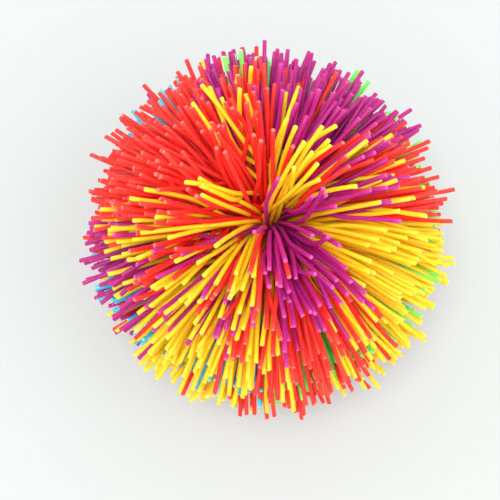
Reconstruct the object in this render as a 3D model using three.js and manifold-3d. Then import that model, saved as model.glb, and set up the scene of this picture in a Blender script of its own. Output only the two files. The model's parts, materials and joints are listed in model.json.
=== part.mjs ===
// A squeeze ball of rubber strands, modelled the way it is put together.
// Straight rubber strands lie side by side in skeins, each skein of one colour. A rolled steel ring grips all
// the skeins at their middle, and both ends of every skein fan out of the ring to fill the ball.
// Units are millimetres. Z is up and runs through the ring's bore. The ball rests on the plane z = 0.

import * as THREE from "three";
import { mergeVertices } from "three/addons/utils/BufferGeometryUtils.js";
import Module from "manifold-3d";

// Ball
const STRAND_REACH = 52; // from the ball's centre to the strand tips
const RIM_REACH = 47; // the same for the short strands that lie next to the ring
const REST_HEIGHT = 48; // the ball's centre above the table: its weight presses the underside flat
const LENGTH_SCATTER = 1; // how much longer or shorter a strand may be than its neighbours
const SWING_SCATTER = 2; // how far a tip may lie round the axis from the middle of its place, in degrees
const LEAN_SCATTER = 2.5; // the same for how far its strand leans out
const RIM_LOOSENESS = 0.2; // share of that scatter which the woven tips of the rim have room for

// Strands
const LOCK_WIDTH = 2.4; // side of a square lock, which is a few strands lying together
const LOCK_GAP = 0.4; // least room between two locks
const MOUTH_RISE = 0.5; // how far a skein runs past the ring before its strands part
const FAN_LIFT = 18; // how far a strand still climbs along the ring's axis as it starts to lean out
const RIM_LIFT = 11; // the same for the strands that lie next to the ring
const LOCK_STEPS = 3; // straight lengths that make up a lock's bend
const STEP_EASE = 1.3; // above 1, the steps along a lock are shorter near the ring

// Binding ring
const RING_BORE = 20;
const RING_WALL = 1.2;
const RING_WIDTH = 8;
const RING_FLARE = 0.8; // how far the bore opens at each lip, so that the lip doesn't cut the rubber
const RING_STRAIGHT = 4.4; // length of the bore that doesn't flare
const RING_SEAM = 0.6; // gap between the butted ends of the rolled strip
const RING_TURN_FACETS = 48;
const LIP_FACETS = 5;
const FIT_GAP = 0.3; // clearance between the ring and the skeins, and between two skeins

// Layers of skeins, from the middle of the bore to its wall. Each layer's strands lean away from the ring's axis
// by the angles from and to, in degrees. Colours run anticlockwise from +X, one for each skein of the layer.
// In a woven layer, tips from above the ring and tips from below it lie by turns, so that no gap is left between.
const LAYERS = [
  {
    name: "crown",
    colours: ["yellow", "red", "yellow", "purple"],
    rows: 1,
    columns: 3,
    from: 12,
    to: 30,
    reach: STRAND_REACH,
    lift: FAN_LIFT,
    looseness: 1,
    woven: false,
  },
  {
    name: "shoulder",
    colours: ["purple", "purple", "red", "red", "yellow", "yellow", "purple", "yellow"],
    rows: 2,
    columns: 3,
    from: 29,
    to: 50,
    reach: STRAND_REACH,
    lift: FAN_LIFT,
    looseness: 1,
    woven: false,
  },
  {
    name: "side",
    colours: [
      "red",
      "purple",
      "purple",
      "purple",
      "red",
      "red",
      "purple",
      "yellow",
      "yellow",
      "red",
      "yellow",
      "yellow",
    ],
    rows: 3,
    columns: 2,
    from: 50,
    to: 84,
    reach: STRAND_REACH,
    lift: FAN_LIFT,
    looseness: 1,
    woven: false,
  },
  {
    name: "rim",
    colours: ["green", "green", "blue", "blue", "blue", "blue", "green", "green"],
    rows: 1,
    columns: 5,
    from: 86,
    to: 98,
    reach: RIM_REACH,
    lift: RIM_LIFT,
    looseness: RIM_LOOSENESS,
    woven: true,
  },
];

const RUBBER_COLOURS = {
  red: 0xf0392b,
  yellow: 0xfbd62a,
  purple: 0xb8297f,
  green: 0x5fd64e,
  blue: 0x2fa9c4,
};

const UP = new THREE.Vector3(0, 0, 1);
const MOUTH_HEIGHT = RING_WIDTH / 2 + MOUTH_RISE;
const BUNDLE_RADIUS = RING_BORE / 2 - FIT_GAP;

const rubbers = {};
for (const [colour, hex] of Object.entries(RUBBER_COLOURS)) {
  rubbers[colour] = new THREE.MeshStandardMaterial({ color: hex, roughness: 0.55, metalness: 0, flatShading: true });
}
const steel = new THREE.MeshStandardMaterial({ color: 0xb4b6ba, roughness: 0.35, metalness: 1 });

const wasm = await Module();
wasm.setup();

function toSolid(geometry) {
  const bare = new THREE.BufferGeometry();
  bare.setAttribute("position", geometry.getAttribute("position"));
  bare.setIndex(geometry.index);
  const merged = mergeVertices(bare, 1e-4);
  const vertProperties = new Float32Array(merged.getAttribute("position").array);
  const triVerts = new Uint32Array(merged.index.array);
  return new wasm.Manifold(new wasm.Mesh({ numProp: 3, vertProperties, triVerts }));
}

function toGeometry(solid) {
  const mesh = solid.getMesh();
  const geometry = new THREE.BufferGeometry();
  geometry.setAttribute("position", new THREE.BufferAttribute(mesh.vertProperties, 3));
  geometry.setIndex(new THREE.BufferAttribute(mesh.triVerts, 1));
  geometry.computeVertexNormals();
  return geometry;
}

// Always the same value between -1 and 1 for the same number, with no pattern from one number to the next.
function scatter(number) {
  const wave = Math.sin(number * 12.9898 + 4.1) * 43758.5453;
  return 2 * (wave - Math.floor(wave)) - 1;
}

// Every strand has the same share of the bore, so a layer's place in it follows from the strand counts.
function placeLayers() {
  const counts = LAYERS.map((layer) => layer.colours.length * layer.rows * layer.columns);
  const total = counts.reduce((sum, count) => sum + count, 0);
  let inside = 0;
  LAYERS.forEach((layer, index) => {
    const edge = FIT_GAP / 2;
    layer.inner = BUNDLE_RADIUS * Math.sqrt(inside / total) + edge;
    inside += counts[index];
    layer.outer = BUNDLE_RADIUS * Math.sqrt(inside / total) - (inside < total ? edge : 0);
    layer.turn = (2 * Math.PI) / layer.colours.length;
  });
}

// The run of a strand in the plane of the ring's axis, as (distance from the axis, height above the ball's centre).
// Place runs from 0 at the layer's inner edge to 1 at its outer edge.
function strandRun(layer, place, reach, extraLean) {
  const radius = THREE.MathUtils.lerp(layer.inner, layer.outer, place);
  const lean = THREE.MathUtils.degToRad(THREE.MathUtils.lerp(layer.from, layer.to, place) + extraLean);
  const foot = new THREE.Vector2(radius, MOUTH_HEIGHT);
  const climb = new THREE.Vector2(radius, MOUTH_HEIGHT + layer.lift);
  const tip = new THREE.Vector2(reach * Math.sin(lean), reach * Math.cos(lean));
  return new THREE.QuadraticBezierCurve(foot, climb, tip);
}

// Corners of the layer's grid on the ring's mouth, for a skein that lies astride the X axis.
function mouthCorner(layer, row, column) {
  const radius = THREE.MathUtils.lerp(layer.inner, layer.outer, row / layer.rows);
  const sideGap = Math.asin(FIT_GAP / 2 / radius);
  const half = layer.turn / 2 - sideGap;
  const angle = THREE.MathUtils.lerp(-half, half, column / layer.columns);
  return new THREE.Vector3(radius * Math.cos(angle), radius * Math.sin(angle), MOUTH_HEIGHT);
}

// Square sections of one lock, from the ring's mouth to its tip. Each lies inside its own share of the fan.
function lockSections(layer, row, column, mirrored, number) {
  const reach = layer.reach + LENGTH_SCATTER * scatter(number);
  const extraLean = layer.looseness * LEAN_SCATTER * scatter(number + 0.6);
  const lowEdge = strandRun(layer, row / layer.rows, reach, 0);
  const highEdge = strandRun(layer, (row + 1) / layer.rows, reach, 0);
  const middle = strandRun(layer, (row + 0.5) / layer.rows, reach, extraLean);
  const columnTurn = layer.turn / layer.columns;
  const columnMiddle = (column + 0.5) * columnTurn - layer.turn / 2;
  const weave = layer.woven ? (mirrored ? columnTurn / 4 : -columnTurn / 4) : 0;
  const swing = weave + THREE.MathUtils.degToRad(layer.looseness * SWING_SCATTER * scatter(number + 0.3));
  const sections = [];
  for (let step = 1; step <= LOCK_STEPS; step += 1) {
    const along = (step / LOCK_STEPS) ** STEP_EASE;
    const at = middle.getPoint(along);
    const ahead = middle.getTangent(along);
    const acrossRoom = lowEdge.getPoint(along).distanceTo(highEdge.getPoint(along));
    const acrossHalf = Math.min(LOCK_WIDTH, acrossRoom - LOCK_GAP) / 2;
    const roundRoom = 2 * (at.x - acrossHalf * ahead.y) * Math.tan(columnTurn / 2);
    const roundHalf = Math.min(LOCK_WIDTH, roundRoom - LOCK_GAP) / 2;
    const angle = columnMiddle + swing * along * along;
    const corner = (across, round) => {
      const point = new THREE.Vector3(at.x + across * ahead.y, round, at.y - across * ahead.x);
      return point.applyAxisAngle(UP, angle);
    };
    sections.push([
      corner(-acrossHalf, -roundHalf),
      corner(acrossHalf, -roundHalf),
      corner(acrossHalf, roundHalf),
      corner(-acrossHalf, roundHalf),
    ]);
  }
  return sections;
}

// A lock that reaches the table ends flat on it: its last corners slide along their edges to the table.
function cutAtTable(sections) {
  const table = -REST_HEIGHT;
  const tips = sections[sections.length - 1];
  const before = sections[sections.length - 2];
  if (tips.every((tip) => tip.z >= table)) {
    return;
  }
  tips.forEach((tip, index) => {
    const share = (table - before[index].z) / (tip.z - before[index].z);
    tip.lerpVectors(before[index], tip, share);
    tip.z = table;
  });
}

// One skein: a block of rubber through the ring, whose two ends are divided into locks.
function skeinGeometry(layer, firstNumber) {
  const points = [];
  const faces = [];

  function addPoint(point) {
    points.push(point);
    return points.length - 1;
  }

  function addQuad(a, b, c, d, mirrored) {
    if (mirrored) {
      faces.push(a, c, b, a, d, c);
    } else {
      faces.push(a, b, c, a, c, d);
    }
  }

  function addMouth(mirrored) {
    const corners = [];
    for (let row = 0; row <= layer.rows; row += 1) {
      corners.push([]);
      for (let column = 0; column <= layer.columns; column += 1) {
        const corner = mouthCorner(layer, row, column);
        corner.z *= mirrored ? -1 : 1;
        corners[row].push(addPoint(corner));
      }
    }
    return corners;
  }

  function addLock(mouth, row, column, mirrored, number) {
    const sections = lockSections(layer, row, column, mirrored, number);
    if (mirrored) {
      sections.flat().forEach((corner) => {
        corner.z *= -1;
      });
      cutAtTable(sections);
    }
    let ring = [mouth[row][column], mouth[row + 1][column], mouth[row + 1][column + 1], mouth[row][column + 1]];
    for (const section of sections) {
      const next = section.map(addPoint);
      for (let side = 0; side < 4; side += 1) {
        const after = (side + 1) % 4;
        addQuad(ring[side], ring[after], next[after], next[side], mirrored);
      }
      ring = next;
    }
    addQuad(ring[0], ring[1], ring[2], ring[3], mirrored);
  }

  // The grid's outline, anticlockwise seen from above.
  function outline(mouth) {
    const loop = [];
    for (let column = 0; column < layer.columns; column += 1) {
      loop.push(mouth[layer.rows][column]);
    }
    for (let row = layer.rows; row > 0; row -= 1) {
      loop.push(mouth[row][layer.columns]);
    }
    for (let column = layer.columns; column > 0; column -= 1) {
      loop.push(mouth[0][column]);
    }
    for (let row = 0; row < layer.rows; row += 1) {
      loop.push(mouth[row][0]);
    }
    return loop;
  }

  const upper = addMouth(false);
  const lower = addMouth(true);
  const upperLoop = outline(upper);
  const lowerLoop = outline(lower);
  upperLoop.forEach((corner, index) => {
    const after = (index + 1) % upperLoop.length;
    addQuad(lowerLoop[index], lowerLoop[after], upperLoop[after], corner, false);
  });

  let number = firstNumber;
  for (const [mouth, mirrored] of [[upper, false], [lower, true]]) {
    for (let row = 0; row < layer.rows; row += 1) {
      for (let column = 0; column < layer.columns; column += 1) {
        addLock(mouth, row, column, mirrored, number);
        number += 1;
      }
    }
  }

  const geometry = new THREE.BufferGeometry().setFromPoints(points);
  geometry.setIndex(faces);
  geometry.computeVertexNormals();
  return geometry;
}

// The ring's wall as a closed profile: the bore, a rounded upper lip, the outside and a rounded lower lip.
function ringProfile() {
  const bore = RING_BORE / 2;
  const lipRound = RING_WALL / 2;
  const flareEnd = RING_WIDTH / 2 - lipRound;
  const flareStart = Math.min(RING_STRAIGHT / 2, flareEnd / 2);
  const flareAt = (height) => {
    const share = (height - flareStart) / (flareEnd - flareStart);
    return RING_FLARE * share * share;
  };
  const bends = Array.from({ length: LIP_FACETS + 1 }, (_, index) => {
    return THREE.MathUtils.lerp(flareStart, flareEnd, index / LIP_FACETS);
  });
  const boreSide = bends.map((height) => new THREE.Vector2(bore + flareAt(height), height));
  const outSide = bends.map((height) => new THREE.Vector2(bore + RING_WALL + flareAt(height), height));
  const lip = [];
  for (let facet = 1; facet < LIP_FACETS; facet += 1) {
    const angle = (Math.PI * facet) / LIP_FACETS;
    const radius = bore + RING_FLARE + lipRound - lipRound * Math.cos(angle);
    lip.push(new THREE.Vector2(radius, flareEnd + lipRound * Math.sin(angle)));
  }
  const half = [...boreSide, ...lip, ...outSide.reverse()];
  const mirrored = half.map((point) => new THREE.Vector2(point.x, -point.y)).reverse();
  const profile = [...half, ...mirrored].reverse();
  return [...profile, profile[0].clone()];
}

function ringGeometry() {
  const turned = new THREE.LatheGeometry(ringProfile(), RING_TURN_FACETS);
  turned.rotateX(Math.PI / 2);
  const seamLength = RING_BORE;
  const seam = new THREE.BoxGeometry(seamLength, RING_SEAM, 2 * RING_WIDTH);
  seam.translate(seamLength / 2, 0, 0);
  return toGeometry(toSolid(turned).subtract(toSolid(seam)));
}

function piece(name, geometry, material) {
  const mesh = new THREE.Mesh(geometry, material);
  mesh.name = name;
  return mesh;
}

const ball = new THREE.Group();
ball.name = "strand_ball";

const middle = new THREE.Group();
middle.name = "middle";
const rightSide = new THREE.Group();
rightSide.name = "right_side";
const leftSide = new THREE.Group();
leftSide.name = "left_side";
for (const group of [middle, rightSide, leftSide]) {
  group.position.z = REST_HEIGHT;
  ball.add(group);
}

middle.add(piece("binding_ring", ringGeometry(), steel));

placeLayers();
let strandNumber = 1;
LAYERS.forEach((layer, layerIndex) => {
  layer.colours.forEach((colour, index) => {
    const name = `${layer.name}_skein_${index + 1}_${colour}`;
    const skein = piece(name, skeinGeometry(layer, strandNumber), rubbers[colour]);
    strandNumber += 2 * layer.rows * layer.columns;
    skein.rotation.z = (index + 0.5) * layer.turn;
    const right = Math.cos(skein.rotation.z) > 0;
    const side = right ? rightSide : leftSide;
    (layerIndex === 0 ? middle : side).add(skein);
  });
});

export default ball;
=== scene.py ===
"""Looks of the strand ball: each rubber strand as a swept tube, with materials, light and camera."""

import json
import math

import bpy
import numpy as np
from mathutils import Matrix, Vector


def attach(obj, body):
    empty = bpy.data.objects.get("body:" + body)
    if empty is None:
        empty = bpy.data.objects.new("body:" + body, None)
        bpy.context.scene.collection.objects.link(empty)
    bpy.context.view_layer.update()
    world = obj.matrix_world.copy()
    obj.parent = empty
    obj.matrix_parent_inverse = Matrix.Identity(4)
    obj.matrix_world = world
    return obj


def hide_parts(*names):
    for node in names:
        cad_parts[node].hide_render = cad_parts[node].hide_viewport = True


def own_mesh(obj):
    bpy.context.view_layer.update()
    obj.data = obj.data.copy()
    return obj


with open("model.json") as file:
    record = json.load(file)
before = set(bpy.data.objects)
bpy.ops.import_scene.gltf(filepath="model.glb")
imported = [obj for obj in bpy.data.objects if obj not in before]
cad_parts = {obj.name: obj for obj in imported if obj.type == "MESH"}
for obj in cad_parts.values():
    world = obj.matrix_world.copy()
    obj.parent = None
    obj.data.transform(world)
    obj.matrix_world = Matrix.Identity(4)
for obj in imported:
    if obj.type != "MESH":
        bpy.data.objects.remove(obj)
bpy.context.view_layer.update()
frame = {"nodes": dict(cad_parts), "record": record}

MM = 0.001
SEED = 11

# Sizes in millimetres, as in the CAD model. The ball's centre is the middle of the ring.
CENTRE_HEIGHT = 48.0
BUNDLE_RADIUS = 9.7
SKEIN_GAP = 0.3
MOUTH_HEIGHT = 4.5
FAN_LIFT = 18.0
RIM_LIFT = 11.0
STRAND_REACH = 52.0
RIM_REACH = 47.0
LENGTH_SCATTER = 1.0
SWING_SCATTER = math.radians(2.0)
LEAN_SCATTER = math.radians(2.5)

# The scatter function of the CAD model, and what is added to a lock's number for its swing and its lean.
SCATTER_STEP = 12.9898
SCATTER_START = 4.1
SCATTER_SIZE = 43758.5453
SWING_DRAW = 0.3
LEAN_DRAW = 0.6

# A single strand, in millimetres. It is narrow in the ring and has its full width a little further out.
STRAND_WIDTH = 1.2
WAIST_WIDTH = 0.45
FULL_WIDTH_FROM = 16.0
TABLE_CLEARANCE = 0.05

# A strand is followed on spheres round the ball's centre, from just outside the ring to past its tip.
SHELLS = np.array([11, 13, 15.5, *range(18, 58, 3)], float)
LOCK_STEPS = 160

# Layers of skeins from the middle of the bore to its wall, as in the CAD model: each skein has rows and
# columns of locks, whose tips lean out by the angles from low to high. A lock is a few strands that lie
# together, and "strands" gives their number in each row. They curl to any side and flop outwards.
LAYERS = {
    "crown": {
        "skeins": 4, "rows": 1, "columns": 3, "low": 12, "high": 30,
        "reach": STRAND_REACH, "lift": FAN_LIFT, "looseness": 1.0, "woven": False,
        "strands": [5], "curl": 0.16, "flop": 0.12,
    },
    "shoulder": {
        "skeins": 8, "rows": 2, "columns": 3, "low": 29, "high": 50,
        "reach": STRAND_REACH, "lift": FAN_LIFT, "looseness": 1.0, "woven": False,
        "strands": [5, 6], "curl": 0.05, "flop": 0.08,
    },
    "side": {
        "skeins": 12, "rows": 3, "columns": 2, "low": 50, "high": 84,
        "reach": STRAND_REACH, "lift": FAN_LIFT, "looseness": 1.0, "woven": False,
        "strands": [6, 8, 13], "curl": 0.035, "flop": 0.03,
    },
    "rim": {
        "skeins": 8, "rows": 1, "columns": 5, "low": 86, "high": 98,
        "reach": RIM_REACH, "lift": RIM_LIFT, "looseness": 0.2, "woven": True,
        "strands": [5], "curl": 0.03, "flop": 0.0,
    },
}
SIDE_LOWEST_ROW = 2

# How a lock's strands lie: side by side in a ribbon that opens towards the tips. Its pitch counts in strand
# widths, and its thickness in pitches. Openings, bends and swings begin at a distance from the ball's
# centre and grow over another, in millimetres.
RIBBON_PITCH = 1.06
RIBBON_OPENING = 0.95
RIBBON_THICKNESS = 0.8
OPENS_FROM, OPENS_OVER = 20.0, 32.0
BENDS_FROM, BENDS_OVER, BEND_POWER = 16.0, 38.0, 1.8
SWINGS_FROM, SWINGS_OVER = 11.0, 29.0
SHARED_CURL = 0.7
OWN_CURL = 0.6
MIDDLE_BEND = 0.4
LENGTH_VARIES = 2.3
LENGTH_LIMIT = 1.8

# Some strands stray from their lock, and some are bent to a hook.
STRAY_SHARE = 0.2
STRAY_LEAN = math.radians(8.0)
STRAY_TURN = math.radians(10.0)
STRAY_LEAST_SINE = 0.4
HOOK_SHARE = 0.10
HOOK_BEND = 2.5


def guests(share, swing, lean, longer=0.0):
    """A share of a skein's strands that goes over its neighbours.

    Their tips swing and lean by so many degrees, and are longer by so many millimetres.
    """
    return {"share": share, "swing": swing, "lean": lean, "longer": longer}


# How the photograph's colours mix. A skein may have more or fewer strands in each lock than its layer gives,
# longer ones, in millimetres, and guests among its neighbours. A share of the lowest row of a side skein
# hangs over the strands of the rim.
BACK_HANG = 0.12
FRONT_HANG = 0.15
HANG_SWING = (-6, 6)
HANG_LEAN = (5, 16)
USUAL_HABIT = {"more": 0, "longer": 0.0, "guests": [], "hang": 0.0}
HABITS = {
    "crown_skein_1_yellow": {
        "more": 7,
        "guests": [
            guests(0.25, (0, 85), (-14, -2)),
            guests(0.05, (20, 80), (-2, 10)),
            guests(0.36, (40, 85), (24, 58)),
            guests(0.24, (-60, 130), (-19, -9)),
        ],
    },
    "crown_skein_2_red": {
        "more": 3,
        "guests": [guests(0.45, (27, 71), (8, 22)), guests(0.06, (-20, 20), (-16, -6))],
    },
    "crown_skein_3_yellow": {
        "more": -2,
        "guests": [guests(0.4, (-75, 40), (0, 14)), guests(0.14, (-30, 30), (-16, -6))],
    },
    "crown_skein_4_purple": {
        "more": 1,
        "guests": [guests(0.5, (-110, 60), (0, 18)), guests(0.12, (-30, 30), (-16, -6))],
    },
    "shoulder_skein_1_purple": {
        "guests": [guests(0.35, (16, 45), (-4, 4)), guests(0.25, (-30, -8), (-10, 0))],
    },
    "shoulder_skein_2_purple": {"guests": [guests(0.25, (15, 45), (7, 17))]},
    "shoulder_skein_3_red": {"more": 1, "guests": [guests(0.25, (-38, -12), (5, 12))]},
    "shoulder_skein_4_red": {
        "more": 6,
        "guests": [guests(0.4, (18, 50), (2, 6)), guests(0.25, (45, 92), (0, 10))],
    },
    "shoulder_skein_5_yellow": {"more": -3, "guests": [guests(0.5, (10, 35), (2, 6))]},
    "shoulder_skein_6_yellow": {"more": -2, "guests": [guests(0.35, (-34, -4), (4, 12))]},
    "shoulder_skein_7_purple": {
        "more": 2,
        "guests": [guests(0.35, (-60, -18), (-4, 6)), guests(0.1, (-95, -60), (0, 10))],
    },
    "shoulder_skein_8_yellow": {"more": -2, "guests": [guests(0.25, (20, 55), (2, 6))]},
    "side_skein_1_red": {"more": 3, "guests": [guests(0.6, (-4, 22), (-28, -8))], "hang": BACK_HANG},
    "side_skein_2_purple": {"hang": BACK_HANG},
    "side_skein_3_purple": {"guests": [guests(0.2, (10, 28), (-2, 2))], "hang": BACK_HANG},
    "side_skein_4_purple": {"guests": [guests(0.4, (-12, 14), (-24, -6))], "hang": BACK_HANG},
    "side_skein_5_red": {"more": 3, "guests": [guests(0.2, (-32, -10), (-8, -3))], "hang": BACK_HANG},
    "side_skein_6_red": {"more": 4, "guests": [guests(0.5, (6, 22), (-8, -3))], "hang": BACK_HANG},
    "side_skein_7_purple": {"guests": [guests(0.5, (8, 22), (-2, 4))], "hang": BACK_HANG},
    "side_skein_8_yellow": {"guests": [guests(0.6, (-41, -27), (-9, 0))], "hang": FRONT_HANG},
    "side_skein_9_yellow": {"hang": FRONT_HANG},
    "side_skein_10_red": {
        "more": 5,
        "guests": [guests(0.5, (-34, -4), (-28, -6)), guests(0.2, (10, 22), (-10, 4))],
        "hang": FRONT_HANG,
    },
    "side_skein_11_yellow": {"guests": [guests(0.2, (-12, -4), (-8, 0))], "hang": FRONT_HANG},
    "side_skein_12_yellow": {"guests": [guests(0.15, (10, 26), (-2, 2))], "hang": FRONT_HANG},
    "rim_skein_1_green": {
        "longer": 4.0,
        "guests": [guests(0.3, (0, 38), (-16, -6)), guests(0.2, (-10, 6), (-26, -14), 1.0)],
    },
    "rim_skein_2_green": {
        "longer": 4.0,
        "guests": [
            guests(0.15, (-15, 30), (-16, -6)),
            guests(0.35, (-28, -8), (-34, -20), 3.0),
            guests(0.35, (18, 36), (-34, -22), 3.0),
        ],
    },
    "rim_skein_3_blue": {"longer": 4.0, "guests": [guests(0.25, (4, 20), (-32, -20), 1.0)]},
    "rim_skein_4_blue": {"longer": 4.0, "guests": [guests(0.3, (-20, 20), (-12, -4))]},
    "rim_skein_5_blue": {"longer": 2.5, "guests": [guests(0.35, (-18, 2), (-18, -6), 2.0)]},
    "rim_skein_8_green": {"longer": 1.0, "guests": [guests(0.15, (-10, 14), (-14, -6), 3.0)]},
}

# Where a lock's strands pass through the ring: the part of the lock's share of the bore that they use, and
# two steps that spread points evenly, which are one over the plastic number and the square of that.
BORE_MARGIN = 0.15
BORE_USED = 0.7
BORE_TURN_USED = 0.94
DEPTH_STEP = 0.7548776662
WIDTH_STEP = 0.5698402910

# Relaxing pushes strands apart, in rounds, on every shell but the first ones next to the ring. Where there
# is no room for their full width, they get a share of the room that there is.
RELAX_ROUNDS = 48
ROUNDS_PER_SEARCH = 6
SEARCH_MARGIN = 1.0
FIRST_FREE_SHELL = 2
CLEAR_WIDTH = 1.04
ROOM_SHARE = 0.88
PAST_TIP = 3.0
PUSH_SHARE = 0.32
STIFFNESS = 0.45
LEAST_SQUARE = 1e-8
LEAST_SIDEWAYS = 1e-6

# The tube of a strand: its points on each side of the ring, and an eight-sided section, whose corners lie a
# little outside half the width. Its cut ends slant a little and have a bevel, in millimetres.
POINTS_OUT = 18
SMOOTHING_ROUNDS = 2
SECTION_SIDES = 8
CORNER_RADIUS = 1.06
UPRIGHT = 0.9
CUT_TILT = 0.16
BEVEL_WIDTH = 0.82
BEVEL_LENGTH = 0.13

# Every tube has a strip of its own in the UV map, with its two caps at the ends of the strip.
UV_SIDES_FROM, UV_SIDES_OVER = 0.02, 0.96
UV_STRIP_MARGIN, UV_STRIP_USED = 0.06, 0.88
UV_LOWER_CAP, UV_UPPER_CAP = 0.009, 0.991
UV_CAP_RADII = (0.007, 0.4)

# Colours as sRGB values from 0 to 255. Those of a rubber are for the part near the ring, which is painted
# shade and painted bounced light, the darkest and the lightest strand, and the cut ends.
RUBBER_COLOURS = {
    "red": ((224, 6, 20), (234, 32, 30), (246, 58, 48), (250, 124, 112)),
    "yellow": ((255, 156, 20), (254, 197, 26), (255, 193, 30), (255, 208, 92)),
    "purple": ((128, 14, 96), (154, 24, 114), (168, 28, 124), (204, 92, 164)),
    "green": ((58, 190, 66), (88, 222, 82), (128, 238, 108), (180, 246, 164)),
    "blue": ((24, 138, 180), (42, 166, 204), (84, 204, 224), (146, 228, 238)),
}
STEEL_COLOURS = ((165, 167, 170), (200, 202, 205))
FLOOR_COLOUR = (181, 185, 184)

# Rubber: a fine mottle makes it paler, glossier and bumpy in places. Ranges named "along" run from the ring,
# at 0, to the tips, at 1.
MOTTLE_SCALE = 420
MOTTLE_DETAIL = 3
MOTTLE_PALE_RANGE = (0.45, 0.8)
MOTTLE_PALENESS = 0.22
MOTTLE_ROUGH_RANGE = (0.3, 0.75)
RUBBER_ROUGHNESS = (0.42, 0.6)
# The colour near the ring fades out over this range. That colour is painted shade and painted bounced light.
ALONG_RING_SHADE = (0.28, 0.64)
# Over the next range the tips are paled towards the cut colour. This is painted light where light falls on
# the tips.
ALONG_TIP_LIGHT = (0.86, 1.0)
TIP_PAINTED_LIGHT = 0.12
CUT_RANGE = (0.3, 0.9)
CUT_PALENESS = 0.7
RUBBER_SPECULAR = 0.3
RUBBER_GLOW_RADIUS = (1.0, 0.5, 0.35)
RUBBER_GLOW_SCALE = 0.003
BUMP_STRENGTH = 0.12
BUMP_DISTANCE = 0.0002
GRAIN_SCALE = (300, 300, 4000)
STEEL_ROUGHNESS = 0.34
FLOOR_ROUGHNESS = 0.9

# The stage, in metres and watts.
FLOOR_HALF = 8.0
LIGHTS = {
    "key": {"place": (-0.3, -0.45, 3.0), "size": 1.2, "power": 60.0},
    "fill": {"place": (1.8, -0.9, 2.4), "size": 2.7, "power": 18.0},
}
WORLD_COLOUR = (1, 1, 1, 1)
WORLD_STRENGTH = 1.3

# The camera stands as in the photograph: degrees up, metres away, and pixels of the photograph.
CAMERA_ELEVATION = 76.5
CAMERA_DISTANCE = 0.35
FOCAL_PIXELS = 1165.0
PHOTO_PIXELS = 500.0
BALL_AT_PIXEL = (266.0, 233.0)
SENSOR_WIDTH = 36.0

look_rng = np.random.default_rng(SEED)


def unit(vectors):
    return vectors / np.linalg.norm(vectors, axis=-1, keepdims=True)


def between(low, high, share):
    return low + (high - low) * share


def ball_direction(lean, turn):
    """Unit vectors at an angle lean from +Z and turn round it, with the two unit vectors across them."""
    sl, cl, st, ct = np.sin(lean), np.cos(lean), np.sin(turn), np.cos(turn)
    out = np.stack([sl * ct, sl * st, cl], axis=-1)
    along_lean = np.stack([cl * ct, cl * st, -sl], axis=-1)
    along_turn = np.stack([-st, ct, np.zeros_like(st)], axis=-1)
    return out, along_lean, along_turn


def scatter(number):
    """Always the same value between -1 and 1 for the same number, as in the CAD model."""
    wave = math.sin(number * SCATTER_STEP + SCATTER_START) * SCATTER_SIZE
    return 2 * (wave - math.floor(wave)) - 1


def place_layers():
    """Each layer's share of the bore follows from its number of locks, as in the CAD model."""
    total = sum(layer["skeins"] * layer["rows"] * layer["columns"] for layer in LAYERS.values())
    inside = 0
    for layer in LAYERS.values():
        edge = SKEIN_GAP / 2
        layer["inner"] = BUNDLE_RADIUS * math.sqrt(inside / total) + edge
        inside += layer["skeins"] * layer["rows"] * layer["columns"]
        layer["outer"] = BUNDLE_RADIUS * math.sqrt(inside / total) - (edge if inside < total else 0)
        layer["turn"] = 2 * math.pi / layer["skeins"]


def skein_list():
    """Every skein node of the frame with its body, layer, place, colour and first lock's number."""
    skeins = []
    for body, nodes in frame["record"]["behaviour"]["bodies"].items():
        for node in nodes:
            if "_skein_" not in node:
                continue
            layer, _, place, colour = node.split("_")
            skein = {"node": node, "body": body, "layer": layer, "place": int(place) - 1, "colour": colour}
            skeins.append(skein)
    skeins.sort(key=lambda skein: (list(LAYERS).index(skein["layer"]), skein["place"]))
    number = 1
    for skein in skeins:
        skein["number"] = number
        number += 2 * LAYERS[skein["layer"]]["rows"] * LAYERS[skein["layer"]]["columns"]
    return skeins


def lock_run(layer, row, column, below, number, skein_turn):
    """Lean and turn of a lock's middle line on every shell, and its reach, as in the CAD model."""
    place = (row + 0.5) / layer["rows"]
    radius = between(layer["inner"], layer["outer"], place)
    lean = math.radians(between(layer["low"], layer["high"], place))
    lean += layer["looseness"] * LEAN_SCATTER * scatter(number + LEAN_DRAW)
    reach = layer["reach"] + LENGTH_SCATTER * scatter(number)
    share = np.linspace(0, 1, LOCK_STEPS)
    away = radius * (1 - share**2) + reach * math.sin(lean) * share**2
    height = MOUTH_HEIGHT * (1 - share) ** 2
    lifted = (MOUTH_HEIGHT + layer["lift"]) * 2 * share * (1 - share)
    height += lifted + reach * math.cos(lean) * share**2
    column_turn = layer["turn"] / layer["columns"]
    swing = layer["looseness"] * SWING_SCATTER * scatter(number + SWING_DRAW)
    if layer["woven"]:
        swing += column_turn / 4 if below else -column_turn / 4
    turn = skein_turn + (column + 0.5) * column_turn - layer["turn"] / 2 + swing * share**2
    shell = np.hypot(away, height)
    leans = np.interp(SHELLS, shell, np.arctan2(away, height))
    return leans, np.interp(SHELLS, shell, turn), reach


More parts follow.
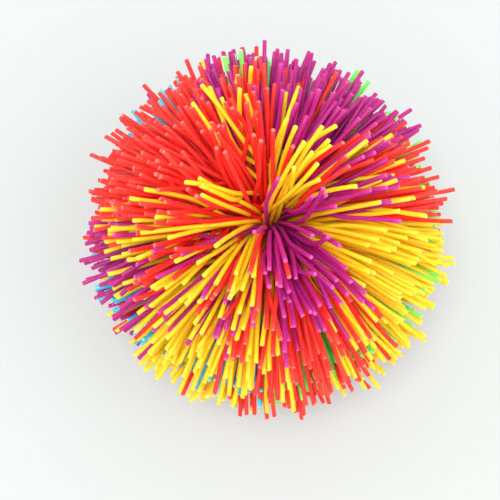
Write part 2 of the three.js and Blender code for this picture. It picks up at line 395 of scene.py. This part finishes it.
def lock_strands(rng, layer, guest_kinds, home_turn, leans, turns, reach, count):
    """Directions on every shell of the strands of one lock, and their reaches."""
    tilt = rng.uniform(0, math.pi)
    opened = np.clip((SHELLS - OPENS_FROM) / OPENS_OVER, 0, None)
    opening = STRAND_WIDTH * RIBBON_PITCH * (1 + RIBBON_OPENING * opened)
    bend_growth = np.clip((SHELLS - BENDS_FROM) / BENDS_OVER, 0, None) ** BEND_POWER
    swing_growth = np.clip((SHELLS - SWINGS_FROM) / SWINGS_OVER, 0, 1)
    swing_growth = swing_growth**2 * (3 - 2 * swing_growth)
    ribbon_bend = rng.normal(0, layer["curl"] * SHARED_CURL, 2)
    rows, reaches = [], []
    for k in range(count):
        in_middle = k == 0
        more_lean, more_turn, more_reach = 0.0, 0.0, 0.0
        side = (k + 1) // 2 * (1 if k % 2 else -1)
        lift = 0.0 if in_middle else rng.normal(0, RIBBON_THICKNESS)
        bend = ribbon_bend + rng.normal(0, layer["curl"] * OWN_CURL, 2)
        bend[0] += abs(rng.normal(0, layer["flop"]))
        if in_middle:
            bend = bend * MIDDLE_BEND
        elif rng.random() < sum(kind["share"] for kind in guest_kinds):
            weights = np.array([kind["share"] for kind in guest_kinds])
            guest = guest_kinds[rng.choice(len(guest_kinds), p=weights / weights.sum())]
            more_lean = math.radians(rng.uniform(*guest["lean"]))
            more_turn = home_turn + math.radians(rng.uniform(*guest["swing"])) - turns[-1]
            more_reach = guest["longer"]
        elif rng.random() < STRAY_SHARE:
            more_lean = layer["looseness"] * rng.normal(0, STRAY_LEAN)
            sine = max(math.sin(leans[-1]), STRAY_LEAST_SINE)
            more_turn = layer["looseness"] * rng.normal(0, STRAY_TURN) / sine
        elif rng.random() < HOOK_SHARE:
            bend = bend * HOOK_BEND
        strand_leans = leans + more_lean * swing_growth
        out, e_lean, e_turn = ball_direction(strand_leans, turns + more_turn * swing_growth)
        across = math.cos(tilt) * e_lean + math.sin(tilt) * e_turn
        aside = math.cos(tilt) * e_turn - math.sin(tilt) * e_lean
        offset = (across * side + aside * lift) * (opening / SHELLS)[:, None]
        offset = offset + (bend[0] * e_lean + bend[1] * e_turn) * bend_growth[:, None]
        rows.append(unit(out + offset))
        longer = 0.0
        if not in_middle:
            longer = LENGTH_VARIES * np.clip(rng.normal(), -LENGTH_LIMIT, LENGTH_LIMIT)
        reaches.append(reach + longer + more_reach)
    return rows, reaches


def bore_places(layer, row, column, count, skein_turn):
    """Where a lock's strands pass through the ring: an even spread over the lock's share of the bore."""
    steps = np.arange(count)
    in_depth = (row + BORE_MARGIN + BORE_USED * ((steps * DEPTH_STEP + 0.5) % 1.0)) / layer["rows"]
    in_width = (column + BORE_MARGIN + BORE_USED * ((steps * WIDTH_STEP + 0.5) % 1.0)) / layer["columns"]
    radius = between(layer["inner"], layer["outer"], in_depth)
    turn = skein_turn + layer["turn"] * (in_width - 0.5) * BORE_TURN_USED
    return np.stack([radius * np.cos(turn), radius * np.sin(turn)], -1)


def skein_strands(skein):
    """Directions and reaches of a skein's upper and lower ends, and its strands' places in the ring."""
    rng = np.random.default_rng([SEED, skein["number"]])
    layer = LAYERS[skein["layer"]]
    skein_turn = (skein["place"] + 0.5) * layer["turn"]
    ends = {False: ([], []), True: ([], [])}
    bore = []
    number = skein["number"]
    locks = [(row, column) for row in range(layer["rows"]) for column in range(layer["columns"])]
    habit = USUAL_HABIT | HABITS.get(skein["node"], {})
    hanging = [guests(habit["hang"], HANG_SWING, HANG_LEAN)] if habit["hang"] else []
    counts = [layer["strands"][row] + habit["more"] + int(rng.integers(-1, 2)) for row, _ in locks]
    for below in (False, True):
        for (row, column), count in zip(locks, counts):
            leans, turns, reach = lock_run(layer, row, column, below, number, skein_turn)
            reach += habit["longer"]
            guest_kinds, home_turn = habit["guests"], skein_turn
            if row == SIDE_LOWEST_ROW:
                guest_kinds, home_turn = hanging, turns[-1]
            rows, reaches = lock_strands(rng, layer, guest_kinds, home_turn, leans, turns, reach, count)
            ends[below][0].extend(rows)
            ends[below][1].extend(reaches)
            number += 1
    for (row, column), count in zip(locks, counts):
        bore.extend(bore_places(layer, row, column, count, skein_turn))
    upper, lower = (np.array(ends[below][0]) for below in (False, True))
    lower[..., 2] *= -1
    return upper, np.array(ends[False][1]), lower, np.array(ends[True][1]), np.array(bore)


def close_pairs(spots, distance):
    """Index pairs of points that lie closer together than the distance."""
    squares = (spots**2).sum(1)
    gaps = squares[:, None] + squares[None, :] - 2 * (spots @ spots.T)
    return np.nonzero(np.triu(gaps < distance**2, 1))


def relax(directions, reaches, below):
    """Pushes strands apart where they would cross, and keeps the lower ones off the table."""
    rest_bend = directions[:, 1:-1] - 0.5 * (directions[:, :-2] + directions[:, 2:])
    room = np.sqrt(4 * math.pi * SHELLS**2 / len(directions)) * ROOM_SHARE
    widths = np.minimum(STRAND_WIDTH * CLEAR_WIDTH, room)
    floor = CENTRE_HEIGHT - STRAND_WIDTH / 2 - TABLE_CLEARANCE
    steepest = np.clip(floor / SHELLS, 0, 1)
    pairs = {}
    for turn in range(RELAX_ROUNDS):
        for k in range(FIRST_FREE_SHELL, len(SHELLS)):
            spots = (directions[:, k] * SHELLS[k]).astype(np.float32)
            if turn % ROUNDS_PER_SEARCH == 0:
                live = np.flatnonzero(reaches > SHELLS[k] - PAST_TIP)
                near = close_pairs(spots[live], widths[k] + SEARCH_MARGIN)
                pairs[k] = (live[near[0]], live[near[1]])
            first, second = pairs[k]
            apart = spots[first] - spots[second]
            gap = np.sqrt(np.maximum((apart**2).sum(1), LEAST_SQUARE))
            push = (PUSH_SHARE * np.maximum(widths[k] - gap, 0) / gap)[:, None] * apart
            np.add.at(spots, first, push)
            np.add.at(spots, second, -push)
            directions[:, k] = unit(spots)
        middle = 0.5 * (directions[:, :-2] + directions[:, 2:]) + rest_bend
        change = middle - directions[:, 1:-1]
        directions[:, FIRST_FREE_SHELL:-1] += STIFFNESS * change[:, FIRST_FREE_SHELL - 1 :]
        directions[:] = unit(directions)
        low = below[:, None] & (-directions[..., 2] > steepest)
        sideways = unit(directions[..., :2] + LEAST_SIDEWAYS)
        flat = sideways * np.sqrt(1 - steepest**2)[None, :, None]
        drop = np.broadcast_to(-steepest[None, :, None], low.shape + (1,))
        directions[low] = np.concatenate([flat, drop], -1)[low]


def end_points(directions, reaches):
    """Points of strand ends from the first shell to their tips, evenly spaced."""
    share = np.linspace(0, 1, POINTS_OUT)
    points = np.empty((len(reaches), POINTS_OUT, 3))
    for row, (strand, reach) in enumerate(zip(directions, reaches)):
        radii = SHELLS[0] + (reach - SHELLS[0]) * share
        smooth = np.stack([np.interp(radii, SHELLS, strand[:, axis]) for axis in range(3)], -1)
        points[row] = unit(smooth) * radii[:, None]
    for _ in range(SMOOTHING_ROUNDS):
        points[:, 1:-1] = 0.5 * points[:, 1:-1] + 0.25 * (points[:, :-2] + points[:, 2:])
    return points


def skein_paths(upper, upper_reach, lower, lower_reach, bore):
    """Whole strands of a skein, from the lower tip through the ring to the upper tip, and half widths."""
    heights = (-MOUTH_HEIGHT, 0.0, MOUTH_HEIGHT)
    waist = np.empty((len(upper), len(heights), 3))
    for i, height in enumerate(heights):
        waist[:, i, :2] = bore
        waist[:, i, 2] = height
    top = end_points(upper, upper_reach)
    bottom = end_points(lower, lower_reach)[:, ::-1]
    paths = np.concatenate([bottom, waist, top], 1)
    away = np.linalg.norm(paths, axis=-1)
    share = np.clip((away - BUNDLE_RADIUS) / (FULL_WIDTH_FROM - BUNDLE_RADIUS), 0, 1)
    widths = WAIST_WIDTH + (STRAND_WIDTH - WAIST_WIDTH) * share
    widths[:, POINTS_OUT : POINTS_OUT + len(heights)] = WAIST_WIDTH
    paths[..., 2] += CENTRE_HEIGHT
    return paths, widths / 2


def carried_frames(paths):
    """Tangents, normals and binormals along the paths, carried on without a twist."""
    tangents = unit(np.gradient(paths, axis=1))
    normals = np.empty_like(paths)
    helper = np.where(np.abs(tangents[:, 0, 2:3]) < UPRIGHT, [[0, 0, 1.0]], [[1.0, 0, 0]])
    normals[:, 0] = unit(np.cross(tangents[:, 0], helper))
    for i in range(1, paths.shape[1]):
        carried = normals[:, i - 1]
        carried = carried - (carried * tangents[:, i]).sum(-1, keepdims=True) * tangents[:, i]
        normals[:, i] = unit(carried)
    return tangents, normals, np.cross(tangents, normals)


def section_angles():
    return (np.arange(SECTION_SIDES) + 0.5) * 2 * math.pi / SECTION_SIDES


def tube_rings(paths, half_widths, cut_tilt):
    """The rings of corners along every tube, with a bevelled and slightly slanting cut at both ends."""
    tangents, normals, binormals = carried_frames(paths)
    angles = section_angles()
    cosines = (np.cos(angles) * CORNER_RADIUS)[None, :, None]
    sines = (np.sin(angles) * CORNER_RADIUS)[None, :, None]

    def ring_at(i, scale=1.0):
        across = cosines * normals[:, i][:, None] + sines * binormals[:, i][:, None]
        return paths[:, i][:, None] + (half_widths[:, i] * scale)[:, None, None] * across

    def cut_rings(i, outward, tilt):
        made = []
        for scale, push in ((1.0, 0.0), (BEVEL_WIDTH, BEVEL_LENGTH)):
            loop = ring_at(i, scale)
            local = loop - paths[:, i][:, None]
            slant = (local * normals[:, i][:, None]).sum(-1) * tilt[:, :1]
            slant = slant + (local * binormals[:, i][:, None]).sum(-1) * tilt[:, 1:]
            made.append(loop + outward * tangents[:, i][:, None] * (slant[..., None] + push))
        return made

    last = paths.shape[1] - 1
    lower_edge, lower_cap = cut_rings(0, -1.0, cut_tilt[0])
    upper_edge, upper_cap = cut_rings(last, 1.0, cut_tilt[1])
    body = [ring_at(i) for i in range(1, last)]
    return np.stack([lower_cap, lower_edge, *body, upper_edge, upper_cap], 1)


def strip_uv(count, levels):
    """UV of all the tubes' sides, then of their lower caps and of their upper caps."""
    strip = 1.0 / count
    strip_start = np.arange(count) * strip
    level_u = UV_SIDES_FROM + UV_SIDES_OVER * np.arange(levels) / (levels - 1)
    side_v = UV_STRIP_MARGIN + UV_STRIP_USED * (np.arange(SECTION_SIDES + 1) / SECTION_SIDES)
    sides = np.empty((count, levels - 1, SECTION_SIDES, 4, 2))
    sides[..., 0:2, 0] = level_u[None, :-1, None, None]
    sides[..., 2:4, 0] = level_u[None, 1:, None, None]
    sides[..., 0, 1] = strip_start[:, None, None] + strip * side_v[None, None, :-1]
    sides[..., 1, 1] = strip_start[:, None, None] + strip * side_v[None, None, 1:]
    sides[..., 2, 1] = sides[..., 1, 1]
    sides[..., 3, 1] = sides[..., 0, 1]

    def cap(middle, angles):
        u = np.broadcast_to(middle + UV_CAP_RADII[0] * np.cos(angles), (count, SECTION_SIDES))
        v = strip_start[:, None] + strip * (0.5 + UV_CAP_RADII[1] * np.sin(angles))
        return np.stack([u, v], -1)

    lower = cap(UV_LOWER_CAP, section_angles()[::-1])
    upper = cap(UV_UPPER_CAP, section_angles())
    return np.concatenate([part.reshape(-1, 2) for part in (sides, lower, upper)])


def tube_mesh(name, paths, half_widths, tones):
    """One mesh of closed tubes along the paths, with values for the material and a UV map for baking."""
    count = len(paths)
    verts = tube_rings(paths, half_widths, look_rng.normal(0, CUT_TILT, (2, count, 2)))
    levels = verts.shape[1]
    index = np.arange(count * levels * SECTION_SIDES).reshape(count, levels, SECTION_SIDES)
    following = np.roll(index, -1, axis=2)
    quads = np.stack([index[:, :-1], following[:, :-1], following[:, 1:], index[:, 1:]], -1).reshape(-1, 4)
    faces = quads.tolist() + index[:, 0, ::-1].tolist() + index[:, -1].tolist()
    mesh = bpy.data.meshes.new(name)
    mesh.from_pydata((verts.reshape(-1, 3) * MM).tolist(), [], faces)
    mesh.update()

    steps = np.abs(np.linspace(-1, 1, levels))
    along = np.broadcast_to(steps[None, :, None], verts.shape[:3])
    cut = np.zeros(verts.shape[:3])
    cut[:, 0] = 1
    cut[:, -1] = 1
    tone = np.broadcast_to(tones[:, None, None], verts.shape[:3])
    for label, values in (("along", along), ("cut", cut), ("tone", tone)):
        attribute = mesh.attributes.new(label, "FLOAT", "POINT")
        attribute.data.foreach_set("value", np.ascontiguousarray(values, dtype=np.float32).ravel())
    uv = mesh.uv_layers.new(name="OFBake")
    uv.data.foreach_set("uv", strip_uv(count, levels).astype(np.float32).ravel())
    mesh.polygons.foreach_set("use_smooth", np.ones(len(mesh.polygons), bool))
    return mesh


def node_tree(material):
    """The material's emptied node tree with one shader, which is linked to the output."""
    material.use_nodes = True
    tree = material.node_tree
    tree.nodes.clear()
    out = tree.nodes.new("ShaderNodeOutputMaterial")
    shader = tree.nodes.new("ShaderNodeBsdfPrincipled")
    tree.links.new(shader.outputs[0], out.inputs[0])
    return tree, shader


def srgb(red, green, blue):
    """The linear colour of sRGB values from 0 to 255."""
    def linear(c):
        c = c / 255
        return c / 12.92 if c <= 0.04045 else ((c + 0.055) / 1.055) ** 2.4

    return (linear(red), linear(green), linear(blue), 1.0)


def mix_colour(tree, factor, first, second):
    """A mix of two colours. The node's colour sockets are inputs 6 and 7 and output 2."""
    node = tree.nodes.new("ShaderNodeMix")
    node.data_type = "RGBA"
    for socket, value in ((node.inputs[0], factor), (node.inputs[6], first), (node.inputs[7], second)):
        if isinstance(value, bpy.types.NodeSocket):
            tree.links.new(value, socket)
        else:
            socket.default_value = value
    return node.outputs[2]


def noise(tree, vector, scale):
    """A noise texture that follows the vector."""
    node = tree.nodes.new("ShaderNodeTexNoise")
    node.inputs["Scale"].default_value = scale
    tree.links.new(vector, node.inputs["Vector"])
    return node


def rubber(name, ring_shade, dark, light, cut):
    """Rubber strand: painted shade and painted bounced light near the ring, a tone of its own for each
    strand, painted light towards the tips, pale cut ends.
    """
    material = bpy.data.materials.new(name)
    tree, shader = node_tree(material)

    def attribute(label):
        node = tree.nodes.new("ShaderNodeAttribute")
        node.attribute_name = label
        return node.outputs["Fac"]

    def ramp(value, over, to=(0.0, 1.0)):
        node = tree.nodes.new("ShaderNodeMapRange")
        node.interpolation_type = "SMOOTHSTEP"
        tree.links.new(value, node.inputs[0])
        for socket, limit in zip(node.inputs[1:5], (*over, *to)):
            socket.default_value = limit
        return node.outputs[0]

    coordinates = tree.nodes.new("ShaderNodeTexCoord")
    mottle = noise(tree, coordinates.outputs["Object"], MOTTLE_SCALE)
    mottle.inputs["Detail"].default_value = MOTTLE_DETAIL
    speckle = mottle.outputs["Fac"]
    body = mix_colour(tree, attribute("tone"), dark, light)
    body = mix_colour(tree, ramp(speckle, MOTTLE_PALE_RANGE, (0.0, MOTTLE_PALENESS)), body, light)
    # Near the ring the colour turns to painted shade and painted bounced light.
    body = mix_colour(tree, ramp(attribute("along"), ALONG_RING_SHADE), ring_shade, body)
    # Towards the tips the colour pales, which is painted light.
    body = mix_colour(tree, ramp(attribute("along"), ALONG_TIP_LIGHT, (0.0, TIP_PAINTED_LIGHT)), body, cut)
    body = mix_colour(tree, ramp(attribute("cut"), CUT_RANGE, (0.0, CUT_PALENESS)), body, cut)
    tree.links.new(body, shader.inputs["Base Color"])
    tree.links.new(ramp(speckle, MOTTLE_ROUGH_RANGE, RUBBER_ROUGHNESS), shader.inputs["Roughness"])
    shader.inputs["Specular IOR Level"].default_value = RUBBER_SPECULAR
    shader.inputs["Subsurface Weight"].default_value = 1.0
    shader.inputs["Subsurface Radius"].default_value = RUBBER_GLOW_RADIUS
    shader.inputs["Subsurface Scale"].default_value = RUBBER_GLOW_SCALE
    bump = tree.nodes.new("ShaderNodeBump")
    bump.inputs["Strength"].default_value = BUMP_STRENGTH
    bump.inputs["Distance"].default_value = BUMP_DISTANCE
    tree.links.new(speckle, bump.inputs["Height"])
    tree.links.new(bump.outputs["Normal"], shader.inputs["Normal"])
    return material


def steel():
    """Steel with a fine grain round the ring."""
    material = bpy.data.materials.new("ring_steel")
    tree, shader = node_tree(material)
    coordinates = tree.nodes.new("ShaderNodeTexCoord")
    stretch = tree.nodes.new("ShaderNodeMapping")
    stretch.inputs["Scale"].default_value = GRAIN_SCALE
    tree.links.new(coordinates.outputs["Object"], stretch.inputs["Vector"])
    grain = noise(tree, stretch.outputs[0], 1.0)
    dark, light = (srgb(*colour) for colour in STEEL_COLOURS)
    tree.links.new(mix_colour(tree, grain.outputs["Fac"], dark, light), shader.inputs["Base Color"])
    shader.inputs["Metallic"].default_value = 1.0
    shader.inputs["Roughness"].default_value = STEEL_ROUGHNESS
    return material


def build_strands():
    """Makes one piece for every skein, with all its strands."""
    rubbers = {}
    for colour, tones in RUBBER_COLOURS.items():
        rubbers[colour] = rubber(f"{colour}_strand_rubber", *(srgb(*tone) for tone in tones))
    place_layers()
    skeins = skein_list()
    made = (skein_strands(skein) for skein in skeins)
    uppers, upper_reaches, lowers, lower_reaches, bores = zip(*made)
    directions = np.concatenate(uppers + lowers)
    reaches = np.concatenate(upper_reaches + lower_reaches)
    total = len(directions) // 2
    relax(directions, reaches, np.arange(len(directions)) >= total)
    start = 0
    for skein, bore in zip(skeins, bores):
        up = slice(start, start + len(bore))
        down = slice(total + start, total + start + len(bore))
        paths, half_widths = skein_paths(directions[up], reaches[up], directions[down], reaches[down], bore)
        name = f"{skein['layer']}_{skein['place'] + 1}_{skein['colour']}_strands"
        tones = look_rng.random(len(bore))
        piece = bpy.data.objects.new(name, tube_mesh(name, paths, half_widths, tones))
        bpy.context.scene.collection.objects.link(piece)
        piece.data.materials.append(rubbers[skein["colour"]])
        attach(piece, skein["body"])
        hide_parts(skein["node"])
        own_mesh(piece)
        start += len(bore)


def add_floor():
    mesh = bpy.data.meshes.new("floor")
    signs = ((-1, -1), (1, -1), (1, 1), (-1, 1))
    mesh.from_pydata([(x * FLOOR_HALF, y * FLOOR_HALF, 0) for x, y in signs], [], [(0, 1, 2, 3)])
    floor = bpy.data.objects.new("floor", mesh)
    bpy.context.scene.collection.objects.link(floor)
    material = bpy.data.materials.new("floor_paper")
    _, shader = node_tree(material)
    shader.inputs["Base Color"].default_value = srgb(*FLOOR_COLOUR)
    shader.inputs["Roughness"].default_value = FLOOR_ROUGHNESS
    mesh.materials.append(material)


def add_light(name, place, size, power):
    """A round lamp that is aimed at the ball's centre."""
    lamp = bpy.data.lights.new(name, "AREA")
    lamp.shape = "DISK"
    lamp.size = size
    lamp.energy = power
    light = bpy.data.objects.new(name, lamp)
    light.location = place
    aim = Vector((0, 0, CENTRE_HEIGHT * MM)) - Vector(place)
    light.rotation_euler = aim.to_track_quat("-Z", "Y").to_euler()
    bpy.context.scene.collection.objects.link(light)


def add_world():
    world = bpy.data.worlds.new("studio")
    bpy.context.scene.world = world
    world.use_nodes = True
    background = world.node_tree.nodes["Background"]
    background.inputs["Color"].default_value = WORLD_COLOUR
    background.inputs["Strength"].default_value = WORLD_STRENGTH


def add_camera():
    """A camera that looks as the photograph's did and sees the ball's centre at the same pixel."""
    optics = bpy.data.cameras.new("camera")
    optics.sensor_width = SENSOR_WIDTH
    optics.lens = SENSOR_WIDTH * FOCAL_PIXELS / PHOTO_PIXELS
    camera = bpy.data.objects.new("camera", optics)
    bpy.context.scene.collection.objects.link(camera)
    tilt = math.radians(CAMERA_ELEVATION)
    back = Vector((0, -math.cos(tilt), math.sin(tilt)))
    turn = (-back).to_track_quat("-Z", "Y")
    aside = turn @ Vector((1, 0, 0))
    upward = turn @ Vector((0, 1, 0))
    per_pixel = CAMERA_DISTANCE / FOCAL_PIXELS
    shift_right = (PHOTO_PIXELS / 2 - BALL_AT_PIXEL[0]) * per_pixel
    shift_up = (BALL_AT_PIXEL[1] - PHOTO_PIXELS / 2) * per_pixel
    straight = Vector((0, 0, CENTRE_HEIGHT * MM)) + back * CAMERA_DISTANCE
    camera.location = straight + aside * shift_right + upward * shift_up
    camera.rotation_mode = "QUATERNION"
    camera.rotation_quaternion = turn
    bpy.context.scene.camera = camera


build_strands()
ring = frame["nodes"]["binding_ring"]
ring.data.materials.clear()
ring.data.materials.append(steel())
add_floor()
for light_name, light in LIGHTS.items():
    add_light(light_name, **light)
add_world()
add_camera()
bpy.context.scene.view_settings.view_transform = "Standard"
